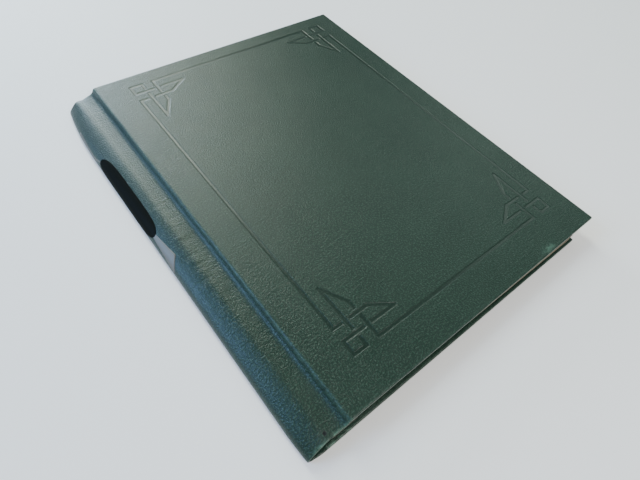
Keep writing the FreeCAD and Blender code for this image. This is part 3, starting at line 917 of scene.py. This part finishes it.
# The print on a leaf: the grid's pitch, the width of its lines and of the frame's, in frame metres.
GRID, GRID_LINE, FRAME_LINE = 4.5 * MM, 0.22 * MM, 0.5 * MM
SHADED_EDGE = 4.0 * MM              # how far in from their edges the leaves are painted darker, a painted shade for the covers' shadow
LEAF_LOW, LEAF_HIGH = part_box("title_leaf")
PAPER_DARK, PAPER_LIGHT = (0.62, 0.55, 0.42), (0.70, 0.63, 0.50)
# Painted shade: the leaves' edges are darkened as if they lay in the covers' shadow.
PAPER_SHADED = (0.20, 0.17, 0.125)
INK, FRAME_INK, GRID_INK = (0.20, 0.24, 0.22), 0.55, 0.4      # its colour, and how strong each line is
PAGE_LOW = (ORIGIN.x + 26.0 * MM, ORIGIN.y + 17.0 * MM)
PAGE_HIGH = (ORIGIN.x + 192.5 * MM, ORIGIN.y + 273.5 * MM)


def album_page(ruled):
    """Cream leaf with a thin printed frame and, on the stamp pages, a fine pale grid; painted shade
    darkens it near its edges.
    """
    s = Shader("album_page" if ruled else "title_page")
    place = s.place()
    fibre = s.noise(place, 1300.0, 4.0, 0.65)
    split = s.node("SeparateXYZ")
    s.link(place, split.inputs["Vector"])
    across, along = split.outputs["X"], split.outputs["Y"]

    def within(low, high):
        """1 inside a rectangle given by its corners, in frame metres."""
        inside = s.math("GREATER_THAN", across, low[0])
        inside = s.math("MULTIPLY", inside, s.math("LESS_THAN", across, high[0]))
        inside = s.math("MULTIPLY", inside, s.math("GREATER_THAN", along, low[1]))
        return s.math("MULTIPLY", inside, s.math("LESS_THAN", along, high[1]))

    def rules(value):
        return s.math("LESS_THAN", s.math("PINGPONG", value, GRID / 2), GRID_LINE / 2)

    inner_low, inner_high = [v + FRAME_LINE for v in PAGE_LOW], [v - FRAME_LINE for v in PAGE_HIGH]
    frame_line = s.math("SUBTRACT", within(PAGE_LOW, PAGE_HIGH), within(inner_low, inner_high))
    ink = s.math("MULTIPLY", frame_line, FRAME_INK)
    if ruled:
        grid = s.math("MULTIPLY", s.math("MAXIMUM", rules(across), rules(along)),
                      within([v + GRID for v in PAGE_LOW], [v - GRID for v in PAGE_HIGH]))
        ink = s.math("ADD", ink, s.math("MULTIPLY", grid, GRID_INK))
    paper = s.mix(s.span(fibre, 0.3, 0.7), PAPER_DARK, PAPER_LIGHT)
    face = s.mix(ink, paper, INK)
    # Painted shade darkens the leaves toward tail, head and fore-edge, where the covers overhang them.
    edge_shade = s.span(along, LEAF_LOW.y, LEAF_LOW.y + SHADED_EDGE, 1.0, 0.0)
    edge_shade = s.math("MAXIMUM", edge_shade, s.span(along, LEAF_HIGH.y - SHADED_EDGE, LEAF_HIGH.y))
    edge_shade = s.math("MAXIMUM", edge_shade, s.span(across, LEAF_HIGH.x - SHADED_EDGE, LEAF_HIGH.x))
    s.link(s.mix(s.math("POWER", edge_shade, 2.0), face, PAPER_SHADED), s.surface.inputs["Base Color"])
    s.link(s.bump(fibre, 0.00004, 0.5), s.surface.inputs["Normal"])
    s.set(Roughness=0.8, Specular_IOR_Level=0.25)
    return s.material


def plain(name, colour, roughness, metallic=0.0, stretch=(1.0, 1.0, 1.0), specular=0.5):
    """One colour with a fine speckle; stretch turns the speckle into brush marks."""
    s = Shader(name)
    speck = s.noise(s.stretch(s.place(), stretch), 900.0, 3.0)
    light = tuple(min(1.0, c * 1.06) for c in colour)
    dark = tuple(c * 0.88 for c in colour)
    s.link(s.mix(speck, dark, light), s.surface.inputs["Base Color"])
    s.link(s.span(speck, 0.3, 0.7, roughness - 0.05, roughness + 0.05), s.surface.inputs["Roughness"])
    s.link(s.bump(speck, 0.00004, 0.5), s.surface.inputs["Normal"])
    s.set(Metallic=metallic, Specular_IOR_Level=specular)
    return s.material


def woven(name, colour):
    """Linen: fine threads both ways."""
    s = Shader(name)
    place = s.place()
    warp = s.noise(s.stretch(place, (0.12, 1.0, 1.0)), 2200.0, 2.0)
    weft = s.noise(s.stretch(place, (1.0, 0.12, 1.0)), 2200.0, 2.0)
    weave = s.math("MULTIPLY", s.math("ADD", warp, weft), 0.5)
    dark = tuple(c * 0.72 for c in colour)
    s.link(s.mix(s.span(weave, 0.35, 0.65), dark, colour), s.surface.inputs["Base Color"])
    s.link(s.bump(weave, 0.00012, 0.8), s.surface.inputs["Normal"])
    s.set(Roughness=0.9, Specular_IOR_Level=0.2)
    return s.material


card = plain("greyboard", (0.36, 0.31, 0.24), 0.85, specular=0.2)
# Painted shade: the guards are near black so that the gap they fill reads as dark shade.
guard_card = plain("guard_card", (0.060, 0.058, 0.045), 0.9, specular=0.1)
endpaper = plain("endpaper", (0.66, 0.59, 0.46), 0.8, specular=0.25)
steel = plain("steel", (0.52, 0.53, 0.54), 0.34, 1.0, stretch=(1.0, 0.03, 1.0))
brass = plain("brass", (0.62, 0.43, 0.17), 0.3, 1.0)
linen = woven("linen", (0.60, 0.54, 0.42))
silver = plain("silver_foil", (0.135, 0.125, 0.108), 0.5, 0.4)
black = plain("black_gloss", (0.006, 0.007, 0.006), 0.42, specular=0.02)
ruled_page, title_page = album_page(True), album_page(False)

CAD_MATERIALS = {"endpaper": endpaper, "binding_posts": brass, "binding_plate": steel,
                 "binding_bar": steel, "post_screws": brass, "plate_rivets": brass,
                 "leaf_guards": guard_card}


def material_for(node):
    """The material of a CAD node that is kept; the longest matching part of its name decides."""
    fitting = [part for part in CAD_MATERIALS if part in node]
    return CAD_MATERIALS[max(fitting, key=len)] if fitting else card


for node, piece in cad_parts.items():
    paint(piece, material_for(node))
for piece, material, slot in ((foil, silver, "label_foil"), (panel, black, "label_panel"),
                              (front_lining, linen, "linen"), (back_lining, linen, "linen"),
                              (spine_lining, card, "board")):
    paint(piece, material)
for strip in linen_strips:
    paint(strip, linen)
for sheet, leaf in zip(leaf_sheets, leaf_bodies):
    paint(sheet, ruled_page if leaf.startswith("album_leaf") else title_page)


# ------------------------------------------------------------------------------------ room and light

FLOOR_HALF = 3000.0
FLOOR_COLOUR = (0.90, 0.895, 0.88, 1.0)
SKY_COLOUR, SKY_STRENGTH = (0.80, 0.88, 1.0, 1.0), 0.22

# Name, place in frame metres, size in metres, power in watts and colour. All face the origin.
LIGHTS = [
    ("window", (0.26, 1.16, 1.07), (0.44, 0.80), 17.5, (0.91, 1.0, 0.85)),
    ("side_window", (1.20, 0.34, 0.98), (0.8, 0.5), 4.2, (0.84, 1.0, 0.90)),
    ("low_window", (-0.04, 1.75, 0.42), (0.7, 0.4), 27.0, (0.64, 0.83, 1.0)),
    ("sky", (-1.18, 0.70, 0.76), (0.6, 0.8), 21.0, (0.33, 0.57, 1.0)),
    ("room", (-0.15, -1.16, 1.32), (0.9, 0.9), 29.0, (1.0, 0.98, 0.94)),
]


def make_room():
    """A pale floor under an even, faintly blue sky."""
    corners = [(-1, -1), (1, -1), (1, 1), (-1, 1)]
    floor = new_object("floor", [(x * FLOOR_HALF, y * FLOOR_HALF, 0) for x, y in corners],
                       [(0, 1, 2, 3)], smooth=False)
    s = Shader("floor_white")
    s.set(Base_Color=FLOOR_COLOUR, Roughness=0.6)
    paint(floor, s.material)
    world = bpy.data.worlds.new("world")
    world.use_nodes = True
    background = world.node_tree.nodes["Background"]
    background.inputs["Color"].default_value = SKY_COLOUR
    background.inputs["Strength"].default_value = SKY_STRENGTH
    bpy.context.scene.world = world


def soft_light(name, place, size, power, colour):
    """A rectangular area light that faces the origin."""
    data = bpy.data.lights.new(name, "AREA")
    data.shape = "RECTANGLE"
    data.size, data.size_y = size
    data.energy = power
    data.color = colour
    light = bpy.data.objects.new(name, data)
    bpy.context.scene.collection.objects.link(light)
    light.location = place
    light.rotation_euler = (-Vector(place)).to_track_quat("-Z", "Y").to_euler()


make_room()
for light_settings in LIGHTS:
    soft_light(*light_settings)
